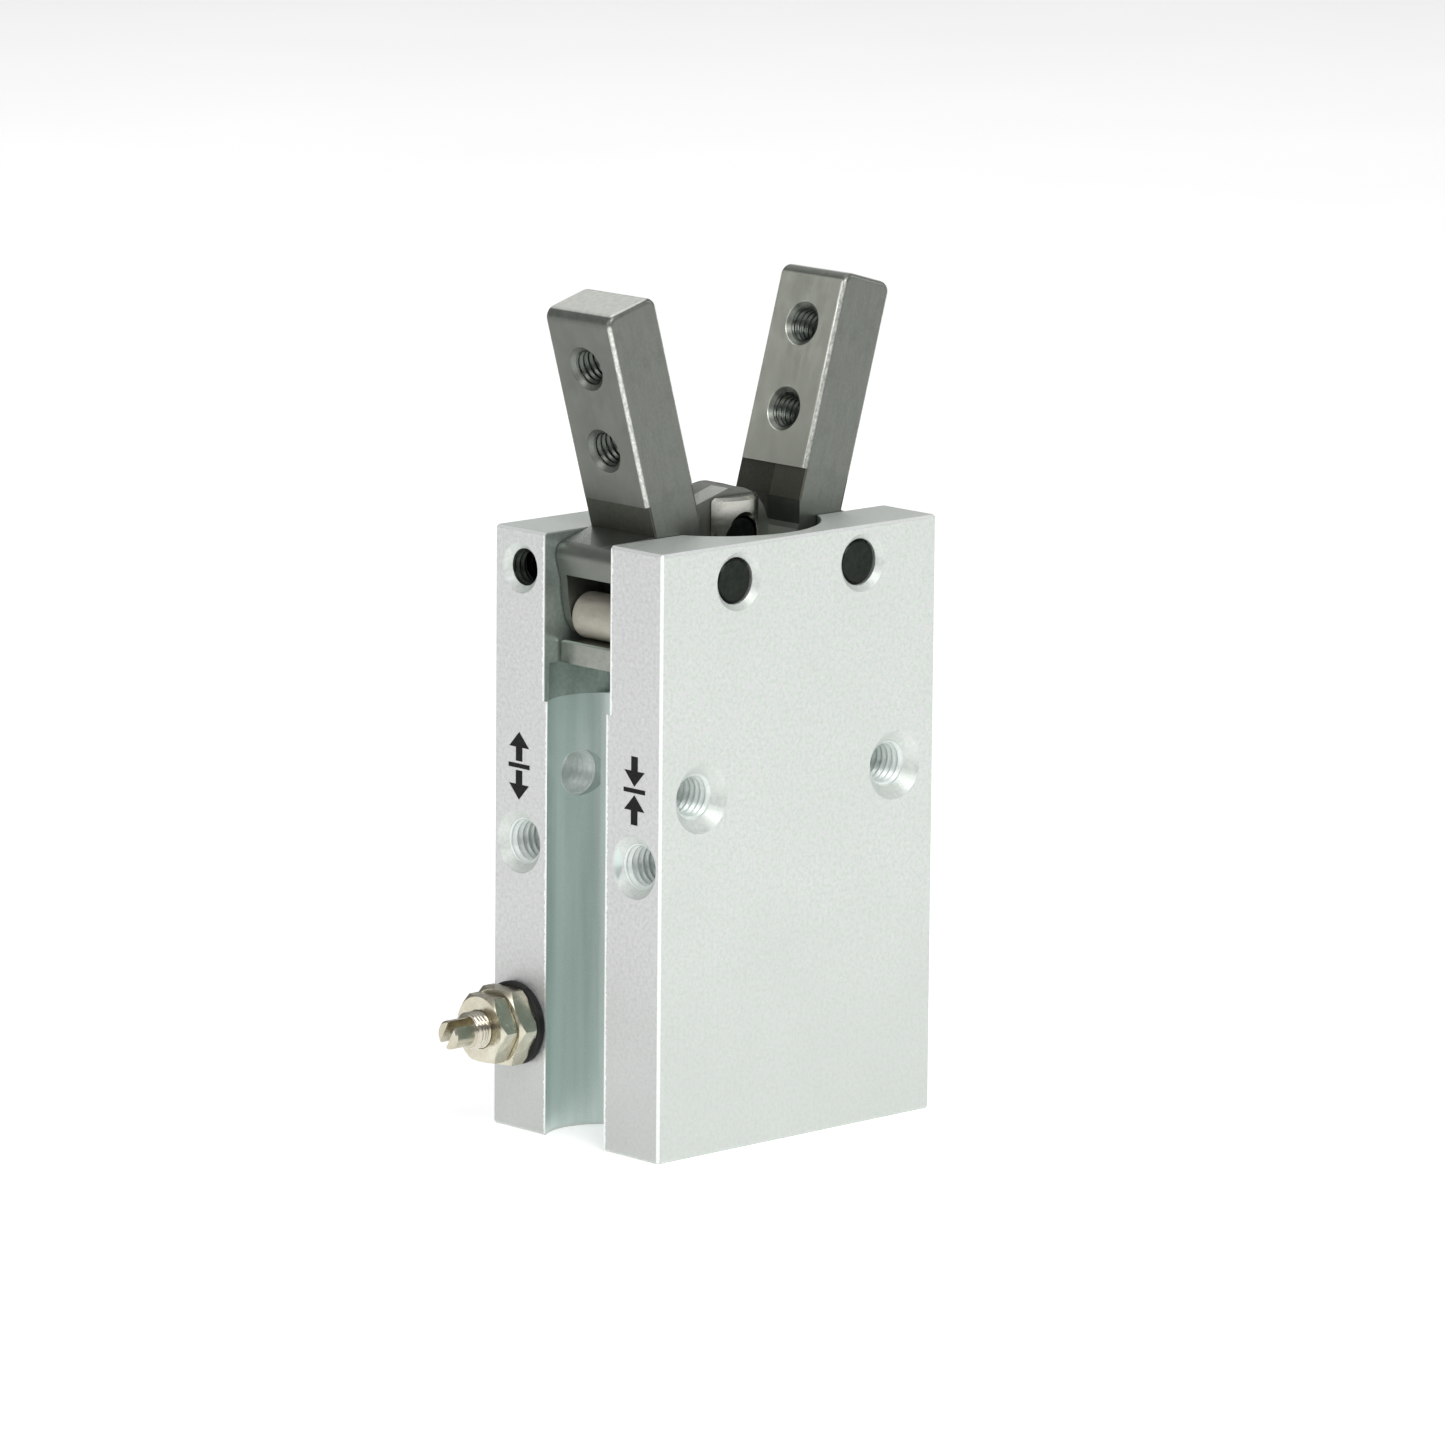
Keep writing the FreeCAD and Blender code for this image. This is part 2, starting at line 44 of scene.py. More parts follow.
# ------------------------------------------------------------------ materials
class Graph:
    """A little helper to wire one procedural material."""

    def __init__(self, name):
        self.m = bpy.data.materials.new(name)
        self.m.use_nodes = True
        self.t = self.m.node_tree
        self.t.nodes.clear()
        self.out = self.n("ShaderNodeOutputMaterial")
        self.b = self.n("ShaderNodeBsdfPrincipled")
        self.t.links.new(self.b.outputs["BSDF"], self.out.inputs["Surface"])
        self.tc = self.n("ShaderNodeTexCoord")
        self.obj = self.tc.outputs["Object"]

    def n(self, kind, **props):
        node = self.t.nodes.new(kind)
        for k, v in props.items():
            setattr(node, k, v)
        return node

    def link(self, a, b):
        self.t.links.new(a, b)

    def put(self, sock, v):
        if hasattr(v, "is_output") or isinstance(v, bpy.types.NodeSocket):
            self.link(v, sock)
        else:
            sock.default_value = v

    def math(self, op, a, b=None, c=None, clamp=False):
        node = self.n("ShaderNodeMath", operation=op, use_clamp=clamp)
        for i, v in enumerate((a, b, c)):
            if v is not None:
                self.put(node.inputs[i], v)
        return node.outputs[0]

    def xyz(self, vec=None):
        node = self.n("ShaderNodeSeparateXYZ")
        self.link(vec or self.obj, node.inputs[0])
        return node.outputs

    def combine(self, x, y, z):
        node = self.n("ShaderNodeCombineXYZ")
        for i, v in enumerate((x, y, z)):
            self.put(node.inputs[i], v)
        return node.outputs[0]

    def mapping(self, scale=(1, 1, 1), rot=(0, 0, 0), loc=(0, 0, 0), vec=None):
        node = self.n("ShaderNodeMapping")
        self.link(vec or self.obj, node.inputs["Vector"])
        node.inputs["Location"].default_value = loc
        node.inputs["Rotation"].default_value = rot
        node.inputs["Scale"].default_value = scale
        return node.outputs[0]

    def noise(self, scale, detail=2.0, rough=0.5, vec=None, distortion=0.0):
        node = self.n("ShaderNodeTexNoise")
        self.link(vec or self.obj, node.inputs["Vector"])
        node.inputs["Scale"].default_value = scale
        node.inputs["Detail"].default_value = detail
        node.inputs["Roughness"].default_value = rough
        node.inputs["Distortion"].default_value = distortion
        return node.outputs["Fac"]

    def voronoi(self, scale, vec=None, feature="F1"):
        node = self.n("ShaderNodeTexVoronoi", feature=feature)
        self.link(vec or self.obj, node.inputs["Vector"])
        node.inputs["Scale"].default_value = scale
        return node.outputs["Distance"]

    def remap(self, v, a0, a1, b0, b1, clamp=True, smooth=False):
        node = self.n("ShaderNodeMapRange", clamp=clamp)
        if smooth:
            node.interpolation_type = "SMOOTHSTEP"
        self.link(v, node.inputs["Value"])
        for k, x in zip(("From Min", "From Max", "To Min", "To Max"), (a0, a1, b0, b1)):
            node.inputs[k].default_value = x
        return node.outputs["Result"]

    def mix(self, fac, a, b, mode="MIX"):
        node = self.n("ShaderNodeMix", data_type="RGBA", blend_type=mode)
        node.clamp_factor = True
        self.put(node.inputs["Factor"], fac)
        for name, v in (("A", a), ("B", b)):
            sock = [s for s in node.inputs if s.name == name and s.type == "RGBA"][0]
            if isinstance(v, (tuple, list)):
                sock.default_value = (*v[:3], 1)
            else:
                self.link(v, sock)
        return [s for s in node.outputs if s.type == "RGBA"][0]

    def mixf(self, fac, a, b):
        node = self.n("ShaderNodeMix", data_type="FLOAT")
        self.put(node.inputs["Factor"], fac)
        socks = [s for s in node.inputs if s.name in ("A", "B") and s.type == "VALUE"]
        self.put(socks[0], a)
        self.put(socks[1], b)
        return [s for s in node.outputs if s.type == "VALUE"][0]

    def ramp(self, v, stops):
        node = self.n("ShaderNodeValToRGB")
        self.link(v, node.inputs["Fac"])
        el = node.color_ramp.elements
        while len(el) < len(stops):
            el.new(0.5)
        for e, (p, c) in zip(el, stops):
            e.position = p
            e.color = (*c[:3], 1)
        return node.outputs["Color"]

    def bump(self, height, distance, strength=1.0, normal=None):
        node = self.n("ShaderNodeBump")
        node.inputs["Strength"].default_value = strength
        node.inputs["Distance"].default_value = distance
        self.link(height, node.inputs["Height"])
        if normal is not None:
            self.link(normal, node.inputs["Normal"])
        return node.outputs["Normal"]

    def set(self, **kw):
        names = {"color": "Base Color", "metallic": "Metallic", "rough": "Roughness", "normal": "Normal", "ior": "IOR",
                 "coat": "Coat Weight", "coat_rough": "Coat Roughness", "sheen": "Sheen Weight", "aniso": "Anisotropic",
                 "spec": "Specular IOR Level"}
        for k, v in kw.items():
            sock = self.b.inputs[names[k]]
            if isinstance(v, (tuple, list)):
                sock.default_value = (*v[:3], 1)
            else:
                self.put(sock, v)
        return self.m


def inside(g, v, lo, hi, soft):
    """1 between lo and hi, fading over soft."""
    a = g.remap(v, lo - soft, lo + soft, 0, 1)
    b = g.remap(v, hi - soft, hi + soft, 1, 0)
    return g.math("MULTIPLY", a, b)


def body_material():
    g = Graph("anodised_body")
    x, y, z = g.xyz()
    ax, ay = g.math("ABSOLUTE", x), g.math("ABSOLUTE", y)
    # everything inside the block's outline, below the top face, is a machined or extruded wall
    wall = g.math("MULTIPLY", g.math("LESS_THAN", ax, 0.01985), g.math("LESS_THAN", ay, 0.0064))
    wall = g.math("MULTIPLY", wall, g.math("LESS_THAN", z, 0.06485))
    wall = g.math("MULTIPLY", wall, g.math("GREATER_THAN", z, 0.0003))
    end_face = g.math("GREATER_THAN", ax, 0.0199)
    top_face = g.math("GREATER_THAN", z, 0.0649)
    # blasted skin: fine mottling in slightly green and slightly lilac greys
    grain = g.noise(5400, 3.0, 0.62)
    mottle = g.noise(2300, 3.0, 0.60)
    hue = g.noise(1150, 3.0, 0.60)
    cloud = g.noise(95, 3.0, 0.55)
    pits = g.voronoi(3300)
    c = g.mix(g.remap(mottle, 0.34, 0.66, 0.0, 1.0), (0.625, 0.665, 0.628), (0.750, 0.790, 0.750))
    c = g.mix(g.remap(hue, 0.48, 0.64, 0, 0.50), c, (0.740, 0.720, 0.755))
    c = g.mix(g.remap(grain, 0.60, 0.74, 0, 0.55), c, (0.900, 0.925, 0.900))
    c = g.mix(g.remap(cloud, 0.3, 0.7, 0, 0.22), c, (0.670, 0.710, 0.672))
    # painted shade: the faces darken towards the bottom
    c = g.mix(g.remap(z, 0.035, 0.0, 0, 0.40, smooth=True), c, (0.600, 0.635, 0.600))
    # the narrow end faces are more lilac in tint and carry painted shade: a little greyer, and greyer still at the
    # lower end
    c_end = g.mix(g.remap(mottle, 0.32, 0.68, 0.0, 1.0), (0.585, 0.600, 0.590), (0.735, 0.745, 0.740))
    c_end = g.mix(g.remap(hue, 0.48, 0.66, 0, 0.50), c_end, (0.690, 0.665, 0.705))
    c_end = g.mix(g.remap(z, 0.026, 0.0, 0, 0.55, smooth=True), c_end, (0.520, 0.545, 0.520))
    c = g.mix(end_face, c, c_end)
    # painted shade: the top face is greyed
    c = g.mix(g.math("MULTIPLY", top_face, 0.45), c, (0.60, 0.63, 0.60))
    # painted highlight along the edges: the block's corners and the lips of the side groove
    e1 = g.math("MULTIPLY", g.math("GREATER_THAN", ax, 0.01972), g.math("GREATER_THAN", ay, 0.01272))
    e2 = g.math("MULTIPLY", g.math("GREATER_THAN", z, 0.06472), g.math("GREATER_THAN", g.math("MAXIMUM", g.math("SUBTRACT", ax, 0.007), ay), 0.01272))
    lip_y = g.mixf(g.math("GREATER_THAN", z, 0.0470), 0.00462, 0.00517)
    e3 = g.math("MULTIPLY", g.math("GREATER_THAN", ax, 0.01990), g.math("LESS_THAN", ay, g.math("ADD", lip_y, g.remap(mottle, 0.3, 0.7, 0.00014, 0.00034))))
    edge_highlight = g.math("MAXIMUM", g.math("MAXIMUM", e1, e2), e3)
    edge_highlight = g.math("MULTIPLY", edge_highlight, g.remap(grain, 0.3, 0.6, 0.55, 1.0))
    c = g.mix(edge_highlight, c, (0.965, 0.985, 0.970))
    skin_rough = g.math("ADD", g.remap(mottle, 0.3, 0.7, 0.46, 0.58), g.remap(cloud, 0.3, 0.7, -0.03, 0.03, clamp=False))
    skin_rough = g.mixf(edge_highlight, skin_rough, 0.36)
    # drawn walls: a cooler tone, smoother, soft vertical drawing marks
    lines = g.noise(700, 2.0, 0.5, vec=g.mapping((1.0, 1.0, 0.05)))
    lines2 = g.noise(2600, 2.0, 0.6, vec=g.mapping((1.0, 1.0, 0.03)))
    cw = g.mix(g.remap(lines, 0.25, 0.75, 0, 1), (0.560, 0.642, 0.617), (0.680, 0.762, 0.735))
    cw = g.mix(g.remap(grain, 0.55, 0.75, 0, 0.5), cw, (0.860, 0.920, 0.900))
    # painted shade: the finger slot walls above the step are darkened
    cut = g.math("MULTIPLY", g.math("GREATER_THAN", z, 0.0470), g.math("MAXIMUM", g.math("GREATER_THAN", ay, 0.0050), g.math("GREATER_THAN", z, 0.0509)))
    cw = g.mix(g.math("MULTIPLY", cut, g.remap(mottle, 0.3, 0.7, 0.55, 0.85)), cw, (0.270, 0.320, 0.285))
    wall_rough = g.remap(lines2, 0.3, 0.7, 0.30, 0.42)
    col = g.mix(wall, c, cw)
    rough = g.mixf(wall, skin_rough, wall_rough)
    height = g.math("ADD", g.math("MULTIPLY", grain, 0.7), g.math("MULTIPLY", pits, 0.6))
    hw = g.math("ADD", g.math("MULTIPLY", lines2, 0.30), g.math("MULTIPLY", grain, 0.20))
    h = g.mixf(wall, height, hw)
    nrm = g.bump(h, 0.000036, 0.6)
    g.set(color=col, metallic=0.70, rough=rough, normal=nrm)
    return g.m


def metal(name, dark, light, rough, scale=1500, stretch=(1, 1, 1), rot=(0, 0, 0), metallic=1.0, bump=0.000006, contrast=(0.3, 0.7),
          tint=None, aniso=0.0, tones=0.35):
    """Ground or turned metal: fine stretched lines, soft tone variation, small scuffs."""
    g = Graph(name)
    m = g.mapping(stretch, rot)
    lines = g.noise(scale, 4.0, 0.65, vec=m)
    tone = g.noise(220, 3.0, 0.55)
    scuff = g.noise(900, 5.0, 0.7, distortion=0.6)
    c = g.mix(g.remap(lines, *contrast, 0, 1), dark, light)
    c = g.mix(g.remap(tone, 0.3, 0.7, 0.0, tones), c, tint or tuple(0.82 * v for v in dark))
    r = g.math("ADD", g.remap(lines, 0.3, 0.7, rough[0], rough[1]), g.remap(scuff, 0.55, 0.75, 0.0, 0.10))
    g.set(color=c, metallic=metallic, rough=r, normal=g.bump(lines, bump, 0.7))
    if aniso:
        g.b.inputs["Anisotropic"].default_value = aniso
    return g.m


def finger_material(side):
    """Satin ground steel with a dark, unground band at the root.  Positions are taken along the finger."""
    g = Graph("finger_steel_" + side)
    s = -1.0 if side == "left" else 1.0
    th = math.radians(16.0)
    x, y, z = g.xyz()
    dx = g.math("SUBTRACT", x, s * 0.009)
    dz = g.math("SUBTRACT", z, 0.061)
    along = g.math("ADD", g.math("MULTIPLY", dx, s * math.sin(th)), g.math("MULTIPLY", dz, math.cos(th)))
    across = g.math("ADD", g.math("MULTIPLY", dx, -s * math.cos(th)), g.math("MULTIPLY", dz, math.sin(th)))
    v = g.combine(across, y, along)
    lines = g.noise(1500, 4.0, 0.65, vec=g.mapping((1.0, 1.0, 0.22), vec=v))
    fine = g.noise(4200, 3.0, 0.6, vec=g.mapping((1, 1, 0.6), vec=v))
    tone = g.noise(170, 3.0, 0.55, vec=v)
    blot = g.noise(480, 4.0, 0.6, vec=v, distortion=0.4)
    c = g.mix(g.remap(lines, 0.3, 0.7, 0, 1), (0.162, 0.176, 0.157), (0.215, 0.230, 0.208))
    c = g.mix(g.remap(fine, 0.45, 0.7, 0, 0.35), c, (0.270, 0.284, 0.262))
    c = g.mix(g.remap(tone, 0.35, 0.7, 0, 0.4), c, (0.195, 0.196, 0.175))
    c = g.mix(g.remap(blot, 0.55, 0.75, 0, 0.35), c, (0.145, 0.152, 0.137))
    rough = g.math("ADD", g.remap(lines, 0.3, 0.7, 0.34, 0.46), g.remap(blot, 0.5, 0.7, 0, 0.06))
    above = g.math("GREATER_THAN", along, 0.0052)
    # painted light and shade: the inward face is painted lighter, the outward face darker
    lit_inner_face = g.math("MULTIPLY", above, g.remap(across, 0.00340, 0.00347, 0, 1))
    shaded_outer_face = g.math("MULTIPLY", above, g.remap(across, -0.00347, -0.00340, 1, 0))
    c = g.mix(lit_inner_face, c, g.mix(g.remap(tone, 0.3, 0.7, 0, 1), (0.540, 0.560, 0.485), (0.660, 0.680, 0.600)))
    c = g.mix(shaded_outer_face, c, g.mix(g.remap(tone, 0.3, 0.7, 0, 1), (0.125, 0.132, 0.117), (0.175, 0.184, 0.164)))
    tip = g.remap(along, 0.02984, 0.02990, 0, 1)
    c = g.mix(tip, c, g.mix(g.remap(lines, 0.3, 0.7, 0, 1), (0.580, 0.595, 0.550), (0.740, 0.755, 0.705)))
    # painted highlight on the corners between the four long faces
    ca, cy = g.math("ABSOLUTE", across), g.math("ABSOLUTE", y)
    corner_highlight = g.remap(g.math("ADD", ca, cy), 0.00806, 0.00816, 0, 1)
    corner_highlight = g.math("MULTIPLY", corner_highlight, g.math("MULTIPLY", above, g.remap(fine, 0.3, 0.65, 0.35, 1.0)))
    c = g.mix(corner_highlight, c, (0.800, 0.815, 0.770))
    # the dark band: between the hub and the ground faces, on the two wide faces only
    band = inside(g, along, 0.0050, 0.00862, 0.00006)
    dark = g.math("MULTIPLY", band, g.math("LESS_THAN", ca, 0.00335))
    dark = g.math("MULTIPLY", dark, g.math("GREATER_THAN", ca, 0.0030))
    split = g.math("GREATER_THAN", y, -0.0003)
    cd = g.mix(g.math("MULTIPLY", split, g.math("GREATER_THAN", across, 0.0)), (0.110, 0.110, 0.086), (0.060, 0.061, 0.047))
    cd = g.mix(g.math("LESS_THAN", across, 0.0), cd, (0.072, 0.074, 0.060))
    c = g.mix(g.math("MULTIPLY", dark, g.remap(fine, 0.3, 0.7, 0.80, 1.0)), c, cd)
    hub = g.remap(along, 0.00515, 0.00525, 1, 0)
    c = g.mix(g.math("MULTIPLY", hub, g.remap(blot, 0.3, 0.7, 0.45, 0.75)), c, (0.175, 0.187, 0.166))
    rough = g.mixf(dark, rough, 0.50)
    h = g.math("ADD", g.math("MULTIPLY", lines, 0.6), g.math("MULTIPLY", fine, 0.45))
    g.set(color=c, metallic=0.9, rough=rough, normal=g.bump(h, 0.000009, 0.6))
    return g.m


def rubber_material(name, tone=0.009):
    g = Graph(name)
    fine = g.noise(4200, 3.0, 0.6)
    mould = g.noise(600, 2.0, 0.5)
    c = g.mix(g.remap(mould, 0.35, 0.65, 0, 1), (tone, tone * 1.08, tone), (tone * 1.9, tone * 2.0, tone * 1.85))
    g.set(color=c, metallic=0.0, rough=g.remap(fine, 0.3, 0.7, 0.52, 0.70), normal=g.bump(fine, 0.000012, 0.5), spec=0.25)
    return g.m


def plain_material(name, a, b, rough, scale=1800, metallic=0.0, bump=0.000008):
    g = Graph(name)
    n1 = g.noise(scale, 3.0, 0.6)
    n2 = g.noise(scale * 0.2, 2.0, 0.5)
    c = g.mix(g.remap(n1, 0.3, 0.7, 0, 1), a, b)
    g.set(color=c, metallic=metallic, rough=g.remap(n2, 0.3, 0.7, *rough), normal=g.bump(n1, bump, 0.5))
    return g.m


TURN_X = (0.03, 1, 1)
MAT = {
    "body": body_material(),
    "finger_left": finger_material("left"),
    "finger_right": finger_material("right"),
    "turned_alu": metal("turned_aluminium", (0.60, 0.61, 0.61), (0.74, 0.75, 0.75), (0.26, 0.38), 1100, (1, 1, 0.05)),
    "spring": metal("blued_spring_steel", (0.10, 0.105, 0.12), (0.18, 0.18, 0.19), (0.30, 0.42), 1600),
    "bright": metal("bright_steel", (0.56, 0.56, 0.55), (0.68, 0.68, 0.66), (0.16, 0.26), 1400),
    "stainless": metal("turned_stainless", (0.45, 0.445, 0.405), (0.62, 0.615, 0.575), (0.16, 0.28), 1300, (0.25, 0.25, 1.0), bump=0.000004),
    "dark": metal("black_oxide_steel", (0.016, 0.020, 0.017), (0.034, 0.040, 0.034), (0.28, 0.42), 1500, tint=(0.020, 0.026, 0.022)),
    "ground": metal("ground_steel", (0.27, 0.285, 0.255), (0.40, 0.42, 0.38), (0.30, 0.42), 1400, (0.06, 1, 1)),
    "roller": metal("roller_steel", (0.40, 0.385, 0.325), (0.52, 0.50, 0.43), (0.42, 0.55), 1500, (1, 0.5, 1), metallic=0.45, bump=0.000004,
                    tint=(0.40, 0.35, 0.29)),
    "brass": metal("nickel_plated_brass", (0.60, 0.58, 0.475), (0.80, 0.78, 0.665), (0.17, 0.30), 900, tint=(0.34, 0.285, 0.195), bump=0.000016, tones=0.62),
    "rubber": rubber_material("black_rubber"),
    "magnet": plain_material("bonded_magnet", (0.045, 0.045, 0.047), (0.09, 0.088, 0.085), (0.5, 0.7)),
    "guide": plain_material("guide_strip", (0.22, 0.135, 0.07), (0.33, 0.22, 0.125), (0.42, 0.6)),
}

FINISH = {
    "body": "body", "retaining_ring": "spring", "end_cap": "turned_alu", "end_cap_o_ring": "rubber", "bottom_bumper": "rubber",
    "passage_plug": "bright", "rod_cover": "turned_alu", "rod_cover_o_ring": "rubber", "rod_seal": "rubber", "rod_cover_ring": "spring",
    "top_bumper": "rubber", "piston": "turned_alu", "piston_seal": "rubber", "piston_magnet": "magnet", "magnet_carrier": "turned_alu",
    "wear_ring": "guide", "piston_rod": "stainless", "piston_nut": "bright", "joint": "stainless", "joint_pin": "dark",
    "stop_plate": "ground", "stop_plate_screws": "dark", "finger_left": "finger_left", "finger_right": "finger_right",
    "stop_roller_left": "roller", "stop_roller_right": "roller", "roller_pin_left": "dark", "roller_pin_right": "dark",
    "fulcrum_pin_left": "dark", "fulcrum_pin_right": "dark", "pin_lock_screws": "dark", "needle_gasket": "rubber",
    "needle_seat_body": "brass", "needle_lock_nut": "brass", "needle_screw": "brass", "needle_o_ring": "rubber",
}
for node, obj in NODES.items():
    m = MAT[FINISH[node]]
    if not obj.material_slots:
        obj.data.materials.append(m)
    for i in range(len(obj.material_slots)):
        obj.material_slots[i].material = m


# ------------------------------------------------------------------ mesh helpers
def mesh_object(name, verts, faces, material, body, smooth=True):
    me = bpy.data.meshes.new(name)
    me.from_pydata([tuple(v) for v in verts], [], faces)
    me.validate()
    me.polygons.foreach_set("use_smooth", [smooth] * len(me.polygons))
    me.materials.append(material)
    o = bpy.data.objects.new(name, me)
    SC.collection.objects.link(o)
    bm = bmesh.new()
    bm.from_mesh(me)
    bmesh.ops.recalc_face_normals(bm, faces=bm.faces)
    bm.to_mesh(me)
    bm.free()
    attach(o, body)
    return o


def axes_for(d):
    d = Vector(d).normalized()
    ref = Vector((0, 0, 1)) if abs(d.z) < 0.9 else Vector((1, 0, 0))
    u = d.cross(ref).normalized()
    return d, u, d.cross(u)


def thread(name, start, direction, length, r_minor, r_major, pitch, body, material, lead=(True, True), internal=True, wall=0.03,
           seg=72, per_pitch=10):
    """A closed threaded sleeve.  internal: the thread faces the axis and the back lies just inside the hole's wall.
    start is the mouth, direction points along the axis, sizes in millimetres."""
    d, u, w = axes_for(direction)
    p0 = Vector(start)
    rings = max(8, int(round(length / pitch * per_pitch)))
    verts, faces = [], []
    back = r_major + wall if internal else r_minor - wall

    def radius(s, a):
        f = (s / pitch - a / (2 * math.pi)) % 1.0
        t = abs(2 * f - 1)
        t = min(1.0, max(0.0, (t - 0.10) / 0.78))
        r = r_minor + (r_major - r_minor) * t
        if internal:
            if lead[0]:
                r = max(r, r_major - s * 0.9)
            if lead[1]:
                r = max(r, r_major - (length - s) * 0.9)
        else:
            if lead[0]:
                r = min(r, r_minor + s * 0.9)
            if lead[1]:
                r = min(r, r_minor + (length - s) * 0.9)
        return r

    for i in range(rings + 1):
        s = length * i / rings
        for j in range(seg):
            a = 2 * math.pi * j / seg
            r = radius(s, a)
            verts.append((p0 + d * s + (u * math.cos(a) + w * math.sin(a)) * r) * MM)
    n_in = len(verts)
    for s in (0.0, length):
        for j in range(seg):
            a = 2 * math.pi * j / seg
            verts.append((p0 + d * s + (u * math.cos(a) + w * math.sin(a)) * back) * MM)
    for i in range(rings):
        for j in range(seg):
            k = (j + 1) % seg
            faces.append((i * seg + j, i * seg + k, (i + 1) * seg + k, (i + 1) * seg + j))
    for j in range(seg):
        k = (j + 1) % seg
        faces.append((j, n_in + j, n_in + k, k))
        faces.append((rings * seg + j, rings * seg + k, n_in + seg + k, n_in + seg + j))
        faces.append((n_in + j, n_in + seg + j, n_in + seg + k, n_in + k))
    return mesh_object(name, verts, faces, material, body)


MAT["thread_alu"] = metal("cut_thread_aluminium", (0.74, 0.79, 0.77), (0.93, 0.96, 0.94), (0.34, 0.46), 2600, metallic=0.35, bump=0.000003,
                          tint=(0.70, 0.80, 0.76))
# a dark colour for the threads of the lock holes
MAT["thread_dark"] = metal("dark_lock_thread", (0.020, 0.024, 0.020), (0.055, 0.062, 0.052), (0.34, 0.48), 2600, bump=0.000003,
                           tint=(0.014, 0.017, 0.014))
MAT["thread_steel"] = metal("cut_thread_steel", (0.085, 0.095, 0.085), (0.160, 0.175, 0.155), (0.26, 0.40), 2600, bump=0.000003)

# tapped holes in the block
for sx, wx in ((-1, "left"), (1, "right")):
    for sy, wy in ((-1, "front"), (1, "back")):
        thread("thread_mount_%s_%s" % (wy, wx), (sx * 14.1, sy * 11.75, 38.5), (0, -sy, 0), 5.6, 2.07, 2.45, 0.8, "body",
               MAT["thread_alu"])
    thread("thread_lock_" + wx, (sx * 19.25, 9.0, 60.8), (-sx, 0, 0), 1.9, 1.62, 1.95, 0.7, "body", MAT["thread_dark"],
           lead=(True, False))
for sy, w in ((-1, "close"), (1, "open")):
    thread("thread_port_" + w, (-19.1, sy * 9.0, 31.3), (1, 0, 0), 4.5, 2.07, 2.45, 0.8, "body", MAT["thread_alu"],
           lead=(True, False))

MAT["thread_brass"] = metal("cut_thread_brass", (0.56, 0.535, 0.46), (0.74, 0.715, 0.64), (0.14, 0.26), 2600, bump=0.000003,
                            tint=(0.46, 0.40, 0.31))
thread("thread_needle", (-25.78, 9.1, 11.7), (-1, 0, 0), 1.46, 1.80, 2.04, 0.42, "needle_body", MAT["thread_brass"], internal=False,
       wall=0.01, per_pitch=12)

# port marks: printed arrow pictograms, apart for the opening port and together for the closing port
ink = Graph("black_ink")
ink_n = ink.noise(3800, 3.0, 0.65)
ink.set(color=ink.mix(ink.remap(ink_n, 0.35, 0.7, 0, 1), (0.004, 0.005, 0.004), (0.022, 0.024, 0.022)), rough=ink.remap(ink_n, 0.3, 0.7, 0.60, 0.80), spec=0.15,
        normal=ink.bump(ink_n, 0.000006, 0.5))


def mark(name, cy, cz, outlines, thick=0.03):
    """Flat printed shapes standing just proud of the port side's face."""
    bm_ = bmesh.new()
    for pts in outlines:
        front = [bm_.verts.new(((-20.0 - thick) * MM, (cy - u) * MM, (cz + v) * MM)) for u, v in pts]
        behind = [bm_.verts.new((-19.98 * MM, (cy - u) * MM, (cz + v) * MM)) for u, v in pts]
        bm_.faces.new(front)
        bm_.faces.new(list(reversed(behind)))
        n = len(pts)
        for k in range(n):
            bm_.faces.new((front[k], behind[k], behind[(k + 1) % n], front[(k + 1) % n]))
    bmesh.ops.recalc_face_normals(bm_, faces=bm_.faces)
    me = bpy.data.meshes.new(name)
    bm_.to_mesh(me)
    bm_.free()
    me.materials.append(ink.m)
    o = bpy.data.objects.new(name, me)
    SC.collection.objects.link(o)
    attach(o, "body")


def arrow(z0, z1, half=1.55, stem=0.50, head=1.65):
    """An arrow from z0 to z1 as one outline in (u, v)."""
    s_ = 1 if z1 > z0 else -1
    neck = z1 - s_ * head
    return [(-stem, z0), (stem, z0), (stem, neck), (half, neck), (0, z1), (-half, neck), (-stem, neck)]


mark("mark_open_port", 9.0, 39.5, [arrow(0.50, 3.65), arrow(-0.50, -3.65), [(-1.65, -0.24), (1.65, -0.24), (1.65, 0.24), (-1.65, 0.24)]])
mark("mark_close_port", -9.0, 39.5, [arrow(3.65, 0.46), arrow(-3.65, -0.46), [(-1.65, -0.24), (1.65, -0.24), (1.65, 0.24), (-1.65, 0.24)]])

# tapped holes in the fingers
TH = math.radians(16.0)
for side, s in (("left", -1.0), ("right", 1.0)):
    axis = Vector((-s * math.cos(TH), 0, math.sin(TH)))      # inwards
    along = Vector((s * math.sin(TH), 0, math.cos(TH)))
    pivot = Vector((s * 9.0, 0, 61.0))
    for lab, zz in (("lower", 14.5), ("upper", 23.8)):
        p = pivot + along * zz - axis * 3.05
        thread("thread_finger_%s_%s" % (side, lab), p, axis, 6.1, 1.62, 1.95, 0.7, "finger_%s_body" % side, MAT["thread_steel"])


# ------------------------------------------------------------------ camera, light, floor
cam_data = bpy.data.cameras.new("camera")
cam_data.sensor_width = 36.0
cam_data.lens = 226.40
cam_data.clip_start = 0.01
cam_data.clip_end = 60.0
cam = bpy.data.objects.new("camera", cam_data)
SC.collection.objects.link(cam)
right = Vector((0.728372777545003, -0.6851241918636073, 0.008828287184761904))
up = Vector((0.12259094046799025, 0.1429845783590707, 0.9821032897137919))
back = Vector((-0.6741250316124978, -0.714255032936218, 0.18813609350342886))
mw = Matrix.Identity(4)
for i in range(3):
    mw[i][0], mw[i][1], mw[i][2] = right[i], up[i], back[i]
mw.translation = Vector((-0.6527048829174011, -0.6926934767215114, 0.2253055200847922))
cam.matrix_world = mw
SC.camera = cam

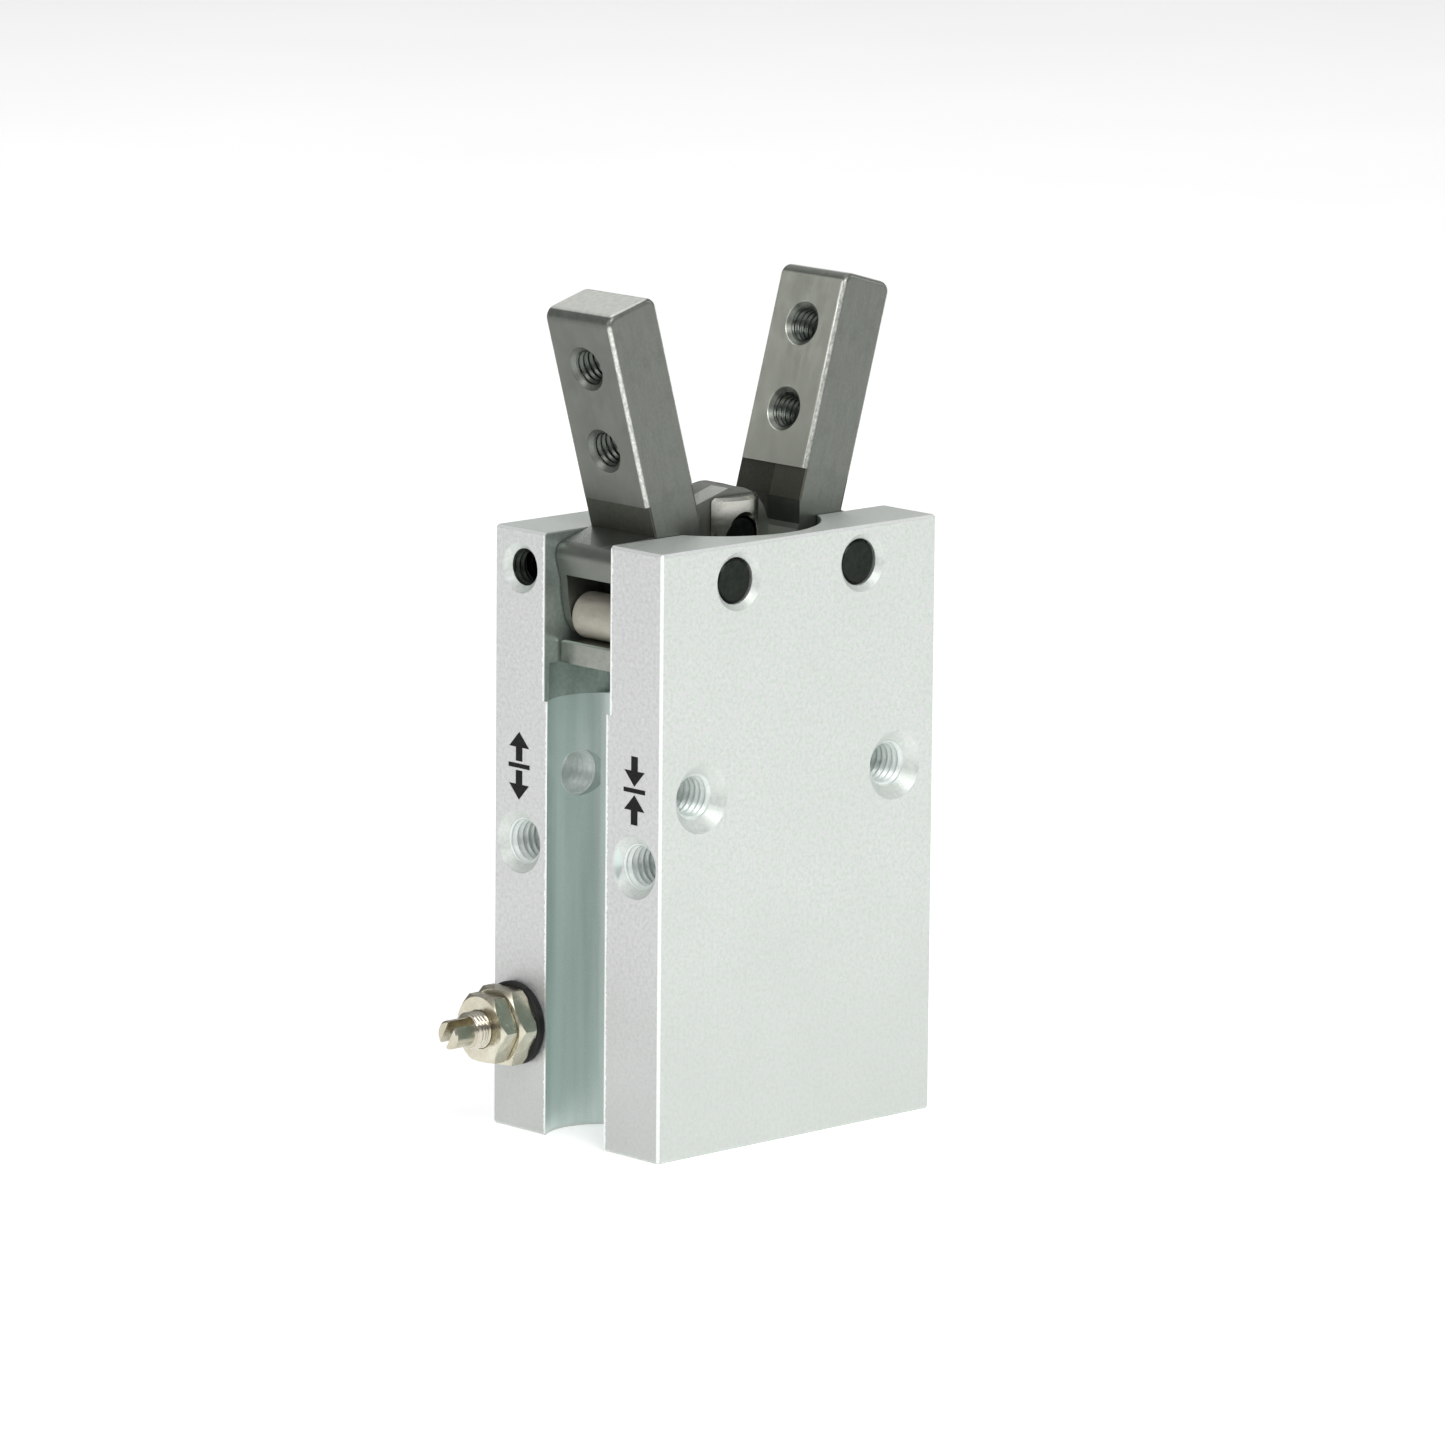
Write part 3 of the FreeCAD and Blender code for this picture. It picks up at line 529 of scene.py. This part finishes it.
world = bpy.data.worlds.new("studio")
world.use_nodes = True
SC.world = world
wt = world.node_tree
wt.nodes.clear()
wo = wt.nodes.new("ShaderNodeOutputWorld")
bg = wt.nodes.new("ShaderNodeBackground")
bgc = wt.nodes.new("ShaderNodeBackground")
mixs = wt.nodes.new("ShaderNodeMixShader")
lp = wt.nodes.new("ShaderNodeLightPath")
tcw = wt.nodes.new("ShaderNodeTexCoord")
sep = wt.nodes.new("ShaderNodeSeparateXYZ")
rampw = wt.nodes.new("ShaderNodeValToRGB")
mr = wt.nodes.new("ShaderNodeMapRange")
wt.links.new(tcw.outputs["Generated"], sep.inputs[0])
wt.links.new(sep.outputs["Z"], mr.inputs["Value"])
mr.inputs["From Min"].default_value = -1.0
mr.inputs["From Max"].default_value = 1.0
wt.links.new(mr.outputs["Result"], rampw.inputs["Fac"])
els = rampw.color_ramp.elements
stops = [(0.0, 0.55), (0.47, 0.55), (0.56, 0.42), (0.72, 0.62), (1.0, 1.05)]
while len(els) < len(stops):
    els.new(0.5)
for e, (p, v) in zip(els, stops):
    e.position = p
    e.color = (v * 0.985, v, v * 0.995, 1)
wt.links.new(rampw.outputs["Color"], bg.inputs["Color"])
bg.inputs["Strength"].default_value = 0.50
bgc.inputs["Color"].default_value = (1, 1, 1, 1)
bgc.inputs["Strength"].default_value = 1.0
wt.links.new(lp.outputs["Is Camera Ray"], mixs.inputs["Fac"])
wt.links.new(bg.outputs[0], mixs.inputs[1])
wt.links.new(bgc.outputs[0], mixs.inputs[2])
wt.links.new(mixs.outputs[0], wo.inputs["Surface"])


def area(name, loc, target, size, power, color=(1, 1, 1)):
    li = bpy.data.lights.new(name, "AREA")
    li.shape = "RECTANGLE"
    li.size, li.size_y = size
    li.energy = power
    li.color = color
    o = bpy.data.objects.new(name, li)
    SC.collection.objects.link(o)
    o.location = loc
    o.rotation_euler = (Vector(target) - Vector(loc)).to_track_quat("-Z", "Y").to_euler()
    return o


AIM = (0, 0, 0.04)
area("key", (-0.28, -0.62, 0.72), AIM, (0.40, 0.34), 3.5)
area("fill_left", (-0.80, 0.00, 0.42), AIM, (0.35, 0.40), 1.35, (1.0, 0.985, 1.0))
area("back_high", (0.48, 0.72, 0.56), AIM, (0.70, 0.50), 0.55)
area("rim_right", (0.60, -0.40, 0.40), AIM, (0.22, 0.45), 0.9)
area("top", (0.05, 0.20, 0.95), AIM, (0.6, 0.6), 1.3)

# floor: large and pale
fg = Graph("studio_floor")
fn = fg.noise(14, 3.0, 0.5)
fg.set(color=fg.mix(fg.remap(fn, 0.3, 0.7, 0, 1), (0.90, 0.90, 0.895), (0.93, 0.93, 0.925)), rough=0.8, spec=0.2)
fg.b.inputs["Emission Color"].default_value = (1.0, 1.0, 1.0, 1.0)
fg.b.inputs["Emission Strength"].default_value = 0.42
bm = bmesh.new()
bmesh.ops.create_grid(bm, x_segments=8, y_segments=8, size=12.0)
fme = bpy.data.meshes.new("floor")
bm.to_mesh(fme)
bm.free()
floor = bpy.data.objects.new("floor", fme)
floor.location = (0, 0, -0.00002)
fme.materials.append(fg.m)
SC.collection.objects.link(floor)
